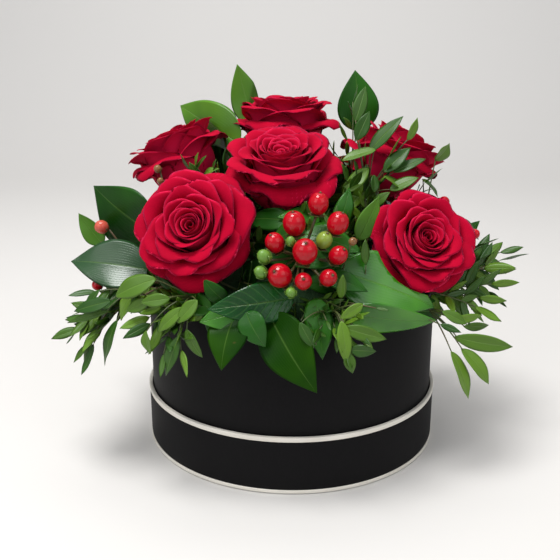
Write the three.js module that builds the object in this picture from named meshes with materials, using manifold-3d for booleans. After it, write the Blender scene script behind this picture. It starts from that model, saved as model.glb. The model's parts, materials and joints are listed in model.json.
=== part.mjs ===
// A round hat box of roses, berries and foliage, standing in its own upturned lid.
// Millimetres, +Z up, the front towards -Y. The origin is the centre of the lid panel's underside.

import * as THREE from "three";
import { mergeVertices } from "three/addons/utils/BufferGeometryUtils.js";
import Module from "manifold-3d";

const wasm = await Module();
wasm.setup();

// ---------- driving dimensions ----------

const GAP = 0.3;                  // clearance between pieces that touch
const ROUND = 48;                 // sides of the box's round pieces

const LID_RADIUS = 100;           // outside of the lid's rim
const LID_DEPTH = 38;             // table to the lid's open edge
const PANEL_THICKNESS = 2.5;
const CARD = 2;                   // thickness of the rolled card walls
const TRIM_HEIGHT = 3;            // cream edging bands
const TRIM_PROUD = 0.4;           // how far the edging stands out of the black card

const BOX_RADIUS = 97.4;          // outside of the box's wall
const BOX_TOP = 110;              // height of the box's rim above the table
const LINER_WALL = 0.8;
const LINER_DROP = 5;             // the liner's edge sits this far below the rim

const FOAM_RADIUS = 91;
const FOAM_SHOULDER = 103;        // where the foam's straight side ends
const FOAM_TOP = 142;
const DOME_CENTRE = new THREE.Vector3(0, 0, 105);   // the arrangement fans out from here

const BLOOM_HEIGHT = 46;          // base of a bloom to its heart
const HEART_HEIGHT = 34;          // base of a bloom to the middle of its open face
const BLOOM_SIDES = 16;
const STEM_RADIUS = 2.6;
const STEM_SIDES = 8;
const HIP_RADIUS = 6.5;           // the swelling that carries the petals
const HIP_LENGTH = 8;
const PULL_LENGTH = 60;           // how far a stem slides out of the foam
const BLOOM_ROOM = 1.5;           // room round a bloom as it slides out
const NECK_ROOM = 0.7;            // room round a hip

const BRANCH_RADIUS = 1.7;
const BERRY_STALK_RADIUS = 0.9;
const BERRY_CUP = 0.42;           // radius of the cup under a berry, as a share of the berry's

const LEAF_THICKNESS = 1.2;
const LEAFLET_THICKNESS = 0.9;
const LEAFLET_SPACING = 13;       // along a twig, from one pair to the next
const LEAFLET_SLIMNESS = 0.17;    // half width as a share of its length
const LEAFLET_SPREAD = 0.85;      // radians from the twig
const FIRST_PAIR = 0.42;          // where a frond's first pair sits, as a share of its chord
const STALK_RADIUS = 1.1;
const TWIG_RADIUS = 1.0;
const TWIG_STEPS = 4;

// ---------- the planting plan ----------

// face: middle of the open face; azimuth and tilt (from upright) aim it; stem: length below the bloom
const ROSES = [
  { name: "rose_top", face: [-5, 36, 216], azimuth: 90, tilt: 3, width: 74, stem: 72 },
  { name: "rose_centre", face: [-7, -37, 195], azimuth: -92, tilt: 22, width: 71, stem: 62 },
  { name: "rose_left", face: [-78, 4, 197], azimuth: 166, tilt: 27, width: 67, stem: 62 },
  { name: "rose_right", face: [71, 8, 197], azimuth: 15, tilt: 25, width: 66, stem: 62 },
  { name: "rose_front_left", face: [-59, -74, 161], azimuth: -105, tilt: 60, width: 71, stem: 40 },
  { name: "rose_front_right", face: [80, -57, 149], azimuth: -72, tilt: 56, width: 66, stem: 44 },
  { name: "rose_back_left", face: [-56, 70, 155], azimuth: 126, tilt: 55, width: 66, stem: 44 },
  { name: "rose_back_right", face: [52, 73, 155], azimuth: 56, tilt: 55, width: 66, stem: 44 },
];

// the berry branch leaves the foam at root and forks at fork
const BERRY_BRANCH = { root: [2, -24, 112], fork: [5, -74, 144] };
const BERRIES = [
  { name: "berry_upper_left", centre: [0, -86, 166], radius: 6.7 },
  { name: "berry_top", centre: [14, -80, 176], radius: 6.0 },
  { name: "berry_upper_right", centre: [25, -85, 166], radius: 6.3 },
  { name: "berry_left", centre: [-11, -91, 156], radius: 5.6 },
  { name: "berry_middle", centre: [6, -99, 153], radius: 7.2 },
  { name: "berry_lower_left", centre: [-8, -99, 139], radius: 7.0 },
  { name: "berry_bottom", centre: [5, -103, 137], radius: 5.0 },
  { name: "berry_lower_right", centre: [19, -100, 138], radius: 5.0 },
  { name: "berry_right", centre: [25, -92, 149], radius: 5.4 },
  { name: "berry_green", centre: [17, -89, 157], radius: 4.8 },
];

// single broad leaves: the stalk runs from root, in the foam, to base, and the blade from base to tip,
// arched outwards by bulge and rolled about its chord
const LEAVES = [
  {
    name: "leaf_back_left", root: [-18, 46, 126], base: [-28, 60, 207], tip: [-39, 67, 249],
    width: 23, bulge: 2, roll: 0,
  },
  {
    name: "leaf_top_left", root: [-18, 10, 132], base: [-35, 11, 199], tip: [-79, 50, 221],
    width: 34, bulge: 3, roll: -60,
  },
  {
    name: "leaf_back_right", root: [32, 44, 126], base: [49, 58, 202], tip: [46, 64, 245],
    width: 30, bulge: 3, roll: -125,
  },
  {
    name: "leaf_left_upper", root: [-66, -18, 118], base: [-86, -28, 144], tip: [-128, -20, 176],
    width: 48, bulge: 3, roll: 0,
  },
  {
    name: "leaf_left_lower", root: [-62, -36, 118], base: [-90, -50, 128], tip: [-141, -40, 131],
    width: 33, bulge: 4, roll: 20,
  },
  {
    name: "leaf_salal", root: [-6, -60, 120], base: [0, -93, 124], tip: [-49, -108, 122],
    width: 24, bulge: 4, roll: 0,
  },
  {
    name: "leaf_front_tuck", root: [-20, -66, 118], base: [-24, -95, 118], tip: [-54, -104, 113],
    width: 19, bulge: 3, roll: 0,
  },
  {
    name: "leaf_hang_left", root: [-34, -66, 116], base: [-33, -97, 116], tip: [-41, -115, 88],
    width: 24, bulge: 5, roll: 0,
  },
  {
    name: "leaf_hang_centre", root: [-12, -68, 116], base: [-14, -98, 116], tip: [13, -117, 75],
    width: 30, bulge: 6, roll: 0,
  },
  {
    name: "leaf_big_right", root: [12, -60, 122], base: [26, -80, 136], tip: [85, -75, 112],
    width: 38, bulge: 4, roll: -10,
  },
  {
    name: "leaf_under_right", root: [24, -68, 114], base: [30, -94, 115], tip: [85, -84, 107],
    width: 20, bulge: 3, roll: 20,
  },
  {
    name: "leaf_gap_right", root: [32, -34, 124], base: [39, -64, 151], tip: [51, -60, 177],
    width: 14, bulge: 1, roll: 0,
  },
  {
    name: "leaf_right", root: [76, 0, 114], base: [104, 4, 130], tip: [127, -2, 149],
    width: 22, bulge: 2, roll: 0,
  },
  {
    name: "leaf_back_hang", root: [-8, 70, 116], base: [-10, 98, 118], tip: [-14, 118, 78],
    width: 28, bulge: 6, roll: 0,
  },
  {
    name: "leaf_back_rise", root: [4, 62, 120], base: [2, 84, 140], tip: [10, 104, 182],
    width: 28, bulge: 3, roll: 0,
  },
  {
    name: "leaf_side_left", root: [-72, 24, 116], base: [-94, 30, 126], tip: [-134, 42, 142],
    width: 30, bulge: 3, roll: 0,
  },
  {
    name: "leaf_side_right", root: [72, 34, 116], base: [94, 42, 124], tip: [132, 54, 136],
    width: 30, bulge: 3, roll: 0,
  },
];

// sprays of small paired leaflets: fronds share a root in the foam
const SPRAYS = [
  { name: "spray_left_low", root: [-68, -30, 112], fronds: [
    { tip: [-146, -56, 80], bulge: 14, leaflet: 17 },
    { tip: [-128, -78, 72], bulge: 16, leaflet: 19 },
    { tip: [-118, -66, 104], bulge: 10, leaflet: 16 }] },
  { name: "spray_front_left", root: [-48, -60, 112], fronds: [
    { tip: [-76, -108, 76], bulge: 16, leaflet: 18 },
    { tip: [-60, -116, 86], bulge: 14, leaflet: 16 },
    { tip: [-96, -92, 100], bulge: 10, leaflet: 16 }] },
  { name: "spray_front_centre", root: [22, -68, 110], fronds: [
    { tip: [30, -118, 84], bulge: 12, leaflet: 16 },
    { tip: [46, -112, 96], bulge: 10, leaflet: 15 }] },
  { name: "spray_right_low", root: [64, -44, 112], fronds: [
    { tip: [142, -48, 76], bulge: 14, leaflet: 22 },
    { tip: [126, -62, 57], bulge: 18, leaflet: 22 },
    { tip: [110, -78, 50], bulge: 20, leaflet: 20 }] },
  { name: "spray_right_side", root: [78, 12, 112], fronds: [
    { tip: [162, 16, 126], bulge: 8, leaflet: 18 },
    { tip: [146, 20, 104], bulge: 10, leaflet: 18 },
    { tip: [142, -20, 94], bulge: 12, leaflet: 18 }] },
  { name: "spray_top_right", root: [36, -14, 126], fronds: [
    { tip: [40, 14, 238], bulge: 2, leaflet: 15 },
    { tip: [62, -34, 206], bulge: 2, leaflet: 16 },
    { tip: [88, -32, 190], bulge: 6, leaflet: 15 }] },
  { name: "spray_back_left", root: [-62, 36, 114], fronds: [
    { tip: [-116, 54, 92], bulge: 14, leaflet: 18 },
    { tip: [-124, 20, 112], bulge: 8, leaflet: 17 }] },
  { name: "spray_back_right", root: [44, 56, 114], fronds: [
    { tip: [36, 122, 88], bulge: 16, leaflet: 18 },
    { tip: [104, 66, 104], bulge: 12, leaflet: 18 }] },
];

// ---------- materials ----------

const paint = (color, roughness) => new THREE.MeshStandardMaterial({ color, roughness, metalness: 0 });
const MATERIALS = {
  blackCard: paint(0x141214, 0.85),
  creamCard: paint(0xd8d2c0, 0.75),
  film: paint(0xc9cfc8, 0.25),
  foam: paint(0x35603a, 0.95),
  petal: paint(0x8c0614, 0.65),
  stem: paint(0x4d7a33, 0.55),
  berry: paint(0xb00a14, 0.15),
  greenBerry: paint(0x7fa340, 0.2),
  leaf: paint(0x1f5a24, 0.35),
  leaflet: paint(0x4f7f35, 0.5),
};

// ---------- solids ----------

const vector = (point) => new THREE.Vector3(...point);

function toSolid(geometry) {
  const bare = geometry.clone();
  bare.deleteAttribute("normal");
  bare.deleteAttribute("uv");
  const merged = mergeVertices(bare, 1e-4);
  return new wasm.Manifold(new wasm.Mesh({
    numProp: 3,
    vertProperties: new Float32Array(merged.attributes.position.array),
    triVerts: new Uint32Array(merged.index.array),
  }));
}

function toGeometry(solid) {
  const mesh = solid.getMesh();
  const geometry = new THREE.BufferGeometry();
  geometry.setAttribute("position", new THREE.BufferAttribute(mesh.vertProperties, 3));
  geometry.setIndex(new THREE.BufferAttribute(mesh.triVerts, 1));
  geometry.computeVertexNormals();
  return geometry;
}

// A turned solid from [radius, height] points, upright on the Z axis.
function turned(points, sides = ROUND) {
  const profile = points.map(([radius, height]) => new THREE.Vector2(radius, height));
  return new THREE.LatheGeometry(profile, sides).rotateX(Math.PI / 2);
}

// A turned ring between two radii and two heights.
function ring(inner, outer, low, high) {
  return turned([[inner, low], [outer, low], [outer, high], [inner, high], [inner, low]]);
}

function disc(radius, low, high) {
  return turned([[0, low], [radius, low], [radius, high], [0, high]]);
}

// Puts a solid that was made upright at the origin onto a base point and an axis.
function aim(geometry, base, axis) {
  const turn = new THREE.Quaternion().setFromUnitVectors(new THREE.Vector3(0, 0, 1), axis);
  return geometry.applyQuaternion(turn).translate(base.x, base.y, base.z);
}

// A round rod between two points.
function rod(from, to, radius, sides) {
  const along = to.clone().sub(from);
  const length = along.length();
  const points = [[0, 0], [radius, 0], [radius, length], [0, length]];
  return aim(turned(points, sides), from, along.normalize());
}

// The largest body of a solid, for a piece that a cut may have left with loose scraps.
function mainBody(solid) {
  const bodies = solid.decompose();
  return bodies.reduce((best, body) => (body.volume() > best.volume() ? body : best));
}

// ---------- the lid and the box ----------

function boxPieces() {
  const panelRadius = LID_RADIUS - TRIM_PROUD - 0.8;
  const rimLow = PANEL_THICKNESS + GAP;
  const rimHigh = LID_DEPTH - TRIM_HEIGHT - GAP;
  const boxLow = PANEL_THICKNESS + GAP;
  const boxInner = BOX_RADIUS - CARD;
  const baseTop = boxLow + CARD;
  return {
    lid_panel: [disc(panelRadius, 0, PANEL_THICKNESS), MATERIALS.blackCard],
    lid_panel_trim: [
      ring(panelRadius + GAP, LID_RADIUS + TRIM_PROUD, GAP, PANEL_THICKNESS), MATERIALS.creamCard],
    lid_rim: [ring(LID_RADIUS - CARD, LID_RADIUS, rimLow, rimHigh), MATERIALS.blackCard],
    lid_rim_trim: [
      ring(LID_RADIUS - CARD, LID_RADIUS + TRIM_PROUD, LID_DEPTH - TRIM_HEIGHT, LID_DEPTH),
      MATERIALS.creamCard],
    box_wall: [ring(boxInner, BOX_RADIUS, boxLow, BOX_TOP), MATERIALS.blackCard],
    box_base: [disc(boxInner - GAP, boxLow, baseTop), MATERIALS.blackCard],
    liner: [linerCup(boxInner - GAP, baseTop + GAP), MATERIALS.film],
  };
}

function linerCup(outer, low) {
  const inner = outer - LINER_WALL;
  const high = BOX_TOP - LINER_DROP;
  return turned([[0, low], [outer, low], [outer, high], [inner, high], [inner, low + LINER_WALL],
    [0, low + LINER_WALL]]);
}

// The foam plug: a straight cylinder with an elliptical dome on top.
function foamPlug() {
  const low = PANEL_THICKNESS + CARD + LINER_WALL + 3 * GAP;
  const domeSteps = 4;
  const points = [[0, low], [FOAM_RADIUS, low]];
  for (let step = 0; step < domeSteps; step += 1) {
    const angle = (step / domeSteps) * (Math.PI / 2);
    const height = FOAM_SHOULDER + (FOAM_TOP - FOAM_SHOULDER) * Math.sin(angle);
    points.push([FOAM_RADIUS * Math.cos(angle), height]);
  }
  points.push([0, FOAM_TOP]);
  return turned(points, 28);
}

// ---------- roses ----------

function rosePose({ face, azimuth, tilt }) {
  const around = THREE.MathUtils.degToRad(azimuth);
  const down = THREE.MathUtils.degToRad(tilt);
  const axis = new THREE.Vector3(
    Math.cos(around) * Math.sin(down), Math.sin(around) * Math.sin(down), Math.cos(down));
  const base = vector(face).addScaledVector(axis, -HEART_HEIGHT);
  return { axis, base };
}

// The bloom's outline as shares of its half width and of its height.
const BLOOM_OUTLINE = [
  [0, 0], [0.24, 0.01], [0.52, 0.08], [0.82, 0.28], [0.97, 0.52], [1, 0.7], [0.86, 0.88],
  [0.5, 0.98], [0, 1]];

function bloom(rose) {
  const { axis, base } = rosePose(rose);
  const points = BLOOM_OUTLINE.map(([out, up]) => [out * rose.width / 2, up * BLOOM_HEIGHT]);
  return aim(turned(points, BLOOM_SIDES), base, axis);
}

// The stem widens under the bloom into the hip that carries the petals.
function roseStem(rose) {
  const { axis, base } = rosePose(rose);
  const foot = base.clone().addScaledVector(axis, -rose.stem - GAP);
  const cut = 3;
  const shoulder = 2;
  const points = [[0, 0], [STEM_RADIUS, cut], [STEM_RADIUS, rose.stem - HIP_LENGTH],
    [HIP_RADIUS, rose.stem - shoulder], [HIP_RADIUS, rose.stem], [0, rose.stem]];
  return aim(turned(points, STEM_SIDES), foot, axis);
}

// The room that a rose needs to slide out: a sleeve round its bloom, open outwards, and its stem.
function roseRoom(rose) {
  const { axis, base } = rosePose(rose);
  const widest = BLOOM_OUTLINE.findIndex(([out]) => out === 1);
  const points = BLOOM_OUTLINE.slice(0, widest + 1).map(([out, up]) => [
    out * rose.width / 2 + (out > 0 ? BLOOM_ROOM : 0), up * BLOOM_HEIGHT - BLOOM_ROOM]);
  const top = BLOOM_HEIGHT + PULL_LENGTH;
  points.push([rose.width / 2 + BLOOM_ROOM, top], [0, top]);
  const sleeve = toSolid(aim(turned(points, BLOOM_SIDES), base, axis));
  return sleeve.add(stemRoom(rose));
}

function stemRoom(rose) {
  const { axis, base } = rosePose(rose);
  const foot = base.clone().addScaledVector(axis, -rose.stem - 2);
  const neck = base.clone().addScaledVector(axis, -HIP_LENGTH - 1);
  const lower = toSolid(rod(foot, base, STEM_RADIUS + GAP, STEM_SIDES));
  return lower.add(toSolid(rod(neck, base, HIP_RADIUS + NECK_ROOM, STEM_SIDES)));
}

// ---------- the berry branch ----------

const FORK = vector(BERRY_BRANCH.fork);

function berryAxis(berry) {
  return vector(berry.centre).sub(FORK).normalize();
}

// A berry: a plump drop with a blunt tip, its base towards the fork.
function berryBody({ centre, radius }, axis, grow = 0) {
  const r = radius + grow;
  const points = [[0, -1.05 * r], [0.6 * r, -0.85 * r], [0.98 * r, -0.2 * r], [0.92 * r, 0.4 * r],
    [0.5 * r, 0.95 * r], [0, 1.15 * r]];
  return aim(turned(points, 10), vector(centre), axis);
}

// The branch: a woody stem, a stalk to each berry and the small cup that the berry sits in.
function berryBranch(grow = 0) {
  const root = vector(BERRY_BRANCH.root);
  let branch = toSolid(rod(root, FORK, BRANCH_RADIUS + grow, 6));
  for (const berry of BERRIES) {
    const axis = berryAxis(berry);
    const seat = vector(berry.centre).addScaledVector(axis, -1.05 * berry.radius - GAP);
    const start = FORK.clone().addScaledVector(axis, -1);
    branch = branch.add(toSolid(rod(start, seat, BERRY_STALK_RADIUS + grow, 5)));
    const rim = BERRY_CUP * berry.radius + grow;
    const cup = turned([[0, -2.2], [rim, -0.2], [rim, 0], [0, 0]], 6);
    branch = branch.add(toSolid(aim(cup, seat, axis)));
  }
  return branch;
}

// The room that the branch needs to slide out along its stem.
function branchRoom() {
  const away = FORK.clone().sub(vector(BERRY_BRANCH.root)).normalize();
  let room = berryBranch(GAP);
  for (const berry of BERRIES) {
    const start = vector(berry.centre);
    const end = start.clone().addScaledVector(away, PULL_LENGTH);
    room = room.add(toSolid(rod(start, end, berry.radius * 1.1 + 0.5, 8)));
    room = room.add(toSolid(berryBody(berry, berryAxis(berry), 0.8)));
  }
  return room;
}

// ---------- foliage ----------

// The lie of a blade: its chord, its width direction and its face, which looks out of the dome.
function blade(root, tip, roll = 0) {
  const along = tip.clone().sub(root);
  const length = along.length();
  along.normalize();
  const outward = root.clone().add(tip).multiplyScalar(0.5).sub(DOME_CENTRE);
  const across = new THREE.Vector3().crossVectors(along, outward).normalize();
  across.applyAxisAngle(along, THREE.MathUtils.degToRad(roll));
  const face = new THREE.Vector3().crossVectors(across, along);
  return { root, along, across, face, length };
}

// A point on a blade's arched middle line, at a share of its chord.
function midline({ root, along, face, length }, share, bulge) {
  return root.clone()
    .addScaledVector(along, share * length)
    .addScaledVector(face, 4 * bulge * share * (1 - share));
}

// A closed lens-shaped blade through [share, half width] stations; its two ends are points.
function lens(lie, bulge, stations, thickness) {
  const positions = [];
  const indices = [];
  const put = (point) => positions.push(point.x, point.y, point.z) / 3 - 1;
  const first = put(midline(lie, stations[0][0], bulge));
  const rows = stations.slice(1, -1).map(([share, half]) => {
    const middle = midline(lie, share, bulge);
    return [
      put(middle.clone().addScaledVector(lie.across, half)),
      put(middle.clone().addScaledVector(lie.face, thickness / 2)),
      put(middle.clone().addScaledVector(lie.across, -half)),
      put(middle.clone().addScaledVector(lie.face, -thickness / 2)),
    ];
  });
  const last = put(midline(lie, stations.at(-1)[0], bulge));
  for (let side = 0; side < 4; side += 1) {
    const next = (side + 1) % 4;
    indices.push(first, rows[0][side], rows[0][next]);
    for (let row = 0; row + 1 < rows.length; row += 1) {
      indices.push(rows[row][side], rows[row + 1][side], rows[row + 1][next]);
      indices.push(rows[row][side], rows[row + 1][next], rows[row][next]);
    }
    indices.push(rows.at(-1)[side], last, rows.at(-1)[next]);
  }
  const geometry = new THREE.BufferGeometry();
  geometry.setAttribute("position", new THREE.Float32BufferAttribute(positions, 3));
  geometry.setIndex(indices);
  const solid = toSolid(geometry);
  if (solid.volume() > 0) return solid;
  geometry.setIndex(indices.reverse());
  return toSolid(geometry);
}

// A broad leaf: a straight stalk, then a blade that is widest a little below its middle.
function leafBody({ root, base, tip, width, bulge, roll }, grow = 0) {
  const lie = blade(vector(base), vector(tip), roll);
  const stations = [[0, 0]];
  for (const share of [0.08, 0.26, 0.48, 0.7, 0.88]) {
    const half = (width / 2) * Math.sin(Math.PI * share ** 0.85) ** 0.8;
    stations.push([share, half + grow]);
  }
  stations.push([1, 0]);
  const stalkEnd = midline(lie, 0.1, bulge);
  const stalk = toSolid(rod(vector(root), stalkEnd, STALK_RADIUS + grow, 5));
  return lens(lie, bulge, stations, LEAF_THICKNESS + 2 * grow).add(stalk);
}

// A frond: an arched twig with pairs of leaflets and one leaflet at its end.
function frondBody(root, { tip, bulge, leaflet }, grow = 0) {
  const lie = blade(root, vector(tip));
  const twigEnd = 1 - leaflet / lie.length;
  const points = [];
  for (let step = 0; step <= TWIG_STEPS; step += 1) {
    points.push(midline(lie, (step / TWIG_STEPS) * twigEnd, bulge));
  }
  const outline = new THREE.Shape().absarc(0, 0, TWIG_RADIUS + grow, 0, 2 * Math.PI);
  const extrudePath = new THREE.CatmullRomCurve3(points);
  let frond = toSolid(new THREE.ExtrudeGeometry(outline, {
    extrudePath, steps: TWIG_STEPS, curveSegments: 2, bevelEnabled: false }));
  const pairs = Math.max(2, Math.round((twigEnd - FIRST_PAIR) * lie.length / LEAFLET_SPACING));
  for (let pair = 0; pair <= pairs; pair += 1) {
    const share = FIRST_PAIR + (twigEnd - FIRST_PAIR) * (pair / pairs);
    const start = midline(lie, share - 0.01, bulge);
    const ahead = midline(lie, share + 0.02, bulge).sub(midline(lie, share, bulge)).normalize();
    const spreads = pair === pairs ? [0] : [-LEAFLET_SPREAD, LEAFLET_SPREAD];
    for (const spread of spreads) {
      const way = ahead.clone().applyAxisAngle(lie.face, spread);
      frond = frond.add(leafletBody(start, way, lie.face, leaflet, grow));
    }
  }
  return frond;
}

function leafletBody(start, way, face, length, grow) {
  const across = new THREE.Vector3().crossVectors(way, face).normalize();
  const flat = new THREE.Vector3().crossVectors(across, way);
  const lie = { root: start, along: way, across, face: flat, length };
  const half = length * LEAFLET_SLIMNESS + grow;
  return lens(lie, 0, [[0, 0], [0.5, half], [1, 0]], LEAFLET_THICKNESS + 2 * grow);
}

function sprayBody({ root, fronds }, grow = 0) {
  const bodies = fronds.map((frond) => frondBody(vector(root), frond, grow));
  return wasm.Manifold.union(bodies);
}

// ---------- assembly ----------

const group = new THREE.Group();

function addPiece(name, geometry, material) {
  const mesh = new THREE.Mesh(geometry, material);
  mesh.name = name;
  group.add(mesh);
}

for (const [name, [geometry, material]] of Object.entries(boxPieces())) {
  addPiece(name, geometry, material);
}

for (const rose of ROSES) {
  addPiece(`${rose.name}_bloom`, bloom(rose), MATERIALS.petal);
  addPiece(`${rose.name}_stem`, roseStem(rose), MATERIALS.stem);
}

addPiece("berry_branch", toGeometry(berryBranch()), MATERIALS.stem);
for (const berry of BERRIES) {
  const material = berry.name === "berry_green" ? MATERIALS.greenBerry : MATERIALS.berry;
  addPiece(berry.name, berryBody(berry, berryAxis(berry)), material);
}

// Foliage keeps out of the box, of every flower's way out and of the foliage placed before it.
const roseRooms = ROSES.map(roseRoom);
let taken = wasm.Manifold.union([...roseRooms, branchRoom(), boxRoom()]);
let foam = toSolid(foamPlug()).subtract(wasm.Manifold.union(roseRooms));
foam = foam.subtract(berryBranch(GAP));

function boxRoom() {
  return toSolid(ring(BOX_RADIUS - CARD - LINER_WALL - 2 * GAP, LID_RADIUS + 2, 0, LID_DEPTH + 2))
    .add(toSolid(ring(BOX_RADIUS - CARD - LINER_WALL - 2 * GAP, BOX_RADIUS + GAP, 0, BOX_TOP + GAP)));
}

function plant(name, body, grown, material) {
  const kept = mainBody(body.subtract(taken));
  taken = taken.add(grown);
  foam = foam.subtract(grown);
  addPiece(name, toGeometry(kept), material);
}

for (const leaf of LEAVES) {
  plant(leaf.name, leafBody(leaf), leafBody(leaf, GAP), MATERIALS.leaf);
}
for (const spray of SPRAYS) {
  plant(spray.name, sprayBody(spray), sprayBody(spray, GAP), MATERIALS.leaflet);
}

addPiece("foam_block", toGeometry(mainBody(foam)), MATERIALS.foam);

export default group;
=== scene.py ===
"""A round hat box of red roses, berries and foliage, standing in its own upturned lid.

Metres, +Z up, the front towards -Y. Boxes, blooms, stems and berries take their places from the
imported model. The foliage repeats the planting plan of the part, in millimetres, and adds finer
sprays, sprigs, leaves and berries to it.
"""
import json
import math

import bmesh
import bpy
import numpy as np
from mathutils.kdtree import KDTree
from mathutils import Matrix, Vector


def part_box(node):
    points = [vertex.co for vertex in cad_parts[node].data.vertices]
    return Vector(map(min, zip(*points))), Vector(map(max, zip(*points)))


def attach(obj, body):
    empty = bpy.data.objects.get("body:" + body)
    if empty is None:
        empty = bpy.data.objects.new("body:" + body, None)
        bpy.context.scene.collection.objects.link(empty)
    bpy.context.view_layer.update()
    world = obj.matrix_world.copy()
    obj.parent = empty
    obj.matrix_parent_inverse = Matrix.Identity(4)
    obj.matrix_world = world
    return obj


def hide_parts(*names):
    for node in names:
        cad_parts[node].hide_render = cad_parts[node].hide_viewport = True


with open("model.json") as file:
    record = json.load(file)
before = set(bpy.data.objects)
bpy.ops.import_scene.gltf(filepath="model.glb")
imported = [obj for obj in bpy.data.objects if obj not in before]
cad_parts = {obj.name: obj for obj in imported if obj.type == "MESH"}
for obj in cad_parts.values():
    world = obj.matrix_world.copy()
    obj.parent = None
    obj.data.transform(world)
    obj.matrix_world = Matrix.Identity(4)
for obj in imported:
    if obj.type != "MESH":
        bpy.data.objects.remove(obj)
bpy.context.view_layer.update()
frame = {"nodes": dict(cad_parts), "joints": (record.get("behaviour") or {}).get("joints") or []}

MM = 0.001
SEED = 20

# ---------- the view ----------

CAMERA_PLACE = (-0.008, -0.530, 0.267)
CAMERA_DOWN = math.radians(16.85)
CAMERA_LENS = 51.4

# ---------- the planting plan, in millimetres and degrees ----------

DOME_CENTRE = np.array([0.0, 0.0, 105.0])
BERRY_FORK = np.array([5.0, -74.0, 144.0])

# name: root in the foam, blade base, tip, width, bulge, roll, kind
LEAVES = {
    "leaf_back_left": ((-18, 46, 126), (-28, 60, 207), (-39, 67, 249), 23, 2, 0, "light"),
    "leaf_top_left": ((-18, 10, 132), (-35, 11, 199), (-79, 50, 221), 34, 3, -60, "light"),
    "leaf_back_right": ((32, 44, 126), (49, 58, 202), (46, 64, 245), 30, 3, -125, "dark"),
    "leaf_left_upper": ((-66, -18, 118), (-86, -28, 144), (-128, -20, 176), 48, 3, 0, "dark"),
    "leaf_left_lower": ((-62, -36, 118), (-90, -50, 128), (-141, -40, 131), 33, 4, 20, "blue"),
    "leaf_salal": ((-6, -60, 120), (0, -93, 124), (-49, -108, 122), 24, 4, 0, "salal"),
    "leaf_front_tuck": ((-20, -66, 118), (-24, -95, 118), (-54, -104, 113), 19, 3, 0, "bright"),
    "leaf_hang_left": ((-34, -66, 116), (-33, -97, 116), (-41, -115, 88), 24, 5, 0, "shade"),
    "leaf_hang_centre": ((-12, -68, 116), (-14, -98, 116), (13, -117, 75), 30, 6, 0, "shade"),
    "leaf_big_right": ((12, -60, 122), (26, -80, 136), (85, -75, 112), 38, 4, -10, "bright"),
    "leaf_under_right": ((24, -68, 114), (30, -94, 115), (85, -84, 107), 20, 3, 20, "bright"),
    "leaf_side_small": ((-76, -22, 116), (-124, -24, 138), (-139, -20, 158), 14, 1, -80, "light"),
    "leaf_tuck_centre": ((-14, -66, 116), (-27, -106, 120), (-16, -112, 101), 17, 3, 0, "broad"),
    "leaf_tuck_left": ((-24, -62, 118), (-39, -99, 124), (-51, -101, 138), 12, 2, 0, "dark"),
    "leaf_gap_right": ((32, -34, 124), (39, -64, 151), (51, -60, 177), 14, 1, 0, "light"),
    "leaf_right": ((76, 0, 114), (104, 4, 130), (127, -2, 149), 22, 2, 0, "dark"),
    "leaf_back_hang": ((-8, 70, 116), (-10, 98, 118), (-14, 118, 78), 28, 6, 0, "broad"),
    "leaf_back_rise": ((4, 62, 120), (2, 84, 140), (10, 104, 182), 28, 3, 0, "dark"),
    "leaf_side_left": ((-72, 24, 116), (-94, 30, 126), (-134, 42, 142), 30, 3, 0, "dark"),
    "leaf_side_right": ((72, 34, 116), (94, 42, 124), (132, 54, 136), 30, 3, 0, "broad"),
}

# leaves tucked in last, behind the gaps between the flowers
GAP_LEAVES = {
    "leaf_behind_centre": ((-34, 34, 124), (-43, 32, 163), (-55, 36, 207), 22, 1, -60, "dark"),
}

# name: root, then (tip, bulge, leaflet length) for each frond
SPRAYS = {
    "spray_left_low": ((-68, -30, 112), [
        ((-146, -56, 80), 14, 17), ((-128, -78, 72), 16, 19), ((-118, -66, 104), 10, 16)]),
    "spray_front_left": ((-48, -60, 112), [
        ((-76, -108, 76), 16, 18), ((-60, -116, 86), 14, 16), ((-96, -92, 100), 10, 16)]),
    "spray_front_centre": ((22, -68, 110), [
        ((30, -118, 84), 12, 16), ((46, -112, 96), 10, 15)]),
    "spray_right_side": ((78, 12, 112), [
        ((162, 16, 126), 8, 18), ((146, 20, 104), 10, 18), ((142, -20, 94), 12, 18)]),
    "spray_top_right": ((36, -14, 126), [
        ((40, 14, 238), 2, 15), ((62, -34, 206), 2, 16), ((88, -32, 190), 6, 15)]),
    "spray_back_left": ((-62, 36, 114), [
        ((-116, 54, 92), 14, 18), ((-124, 20, 112), 8, 17)]),
    "spray_back_right": ((44, 56, 114), [
        ((36, 122, 88), 16, 18), ((104, 66, 104), 12, 18)]),
}
LEAFLET_SPACING = 9

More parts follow.
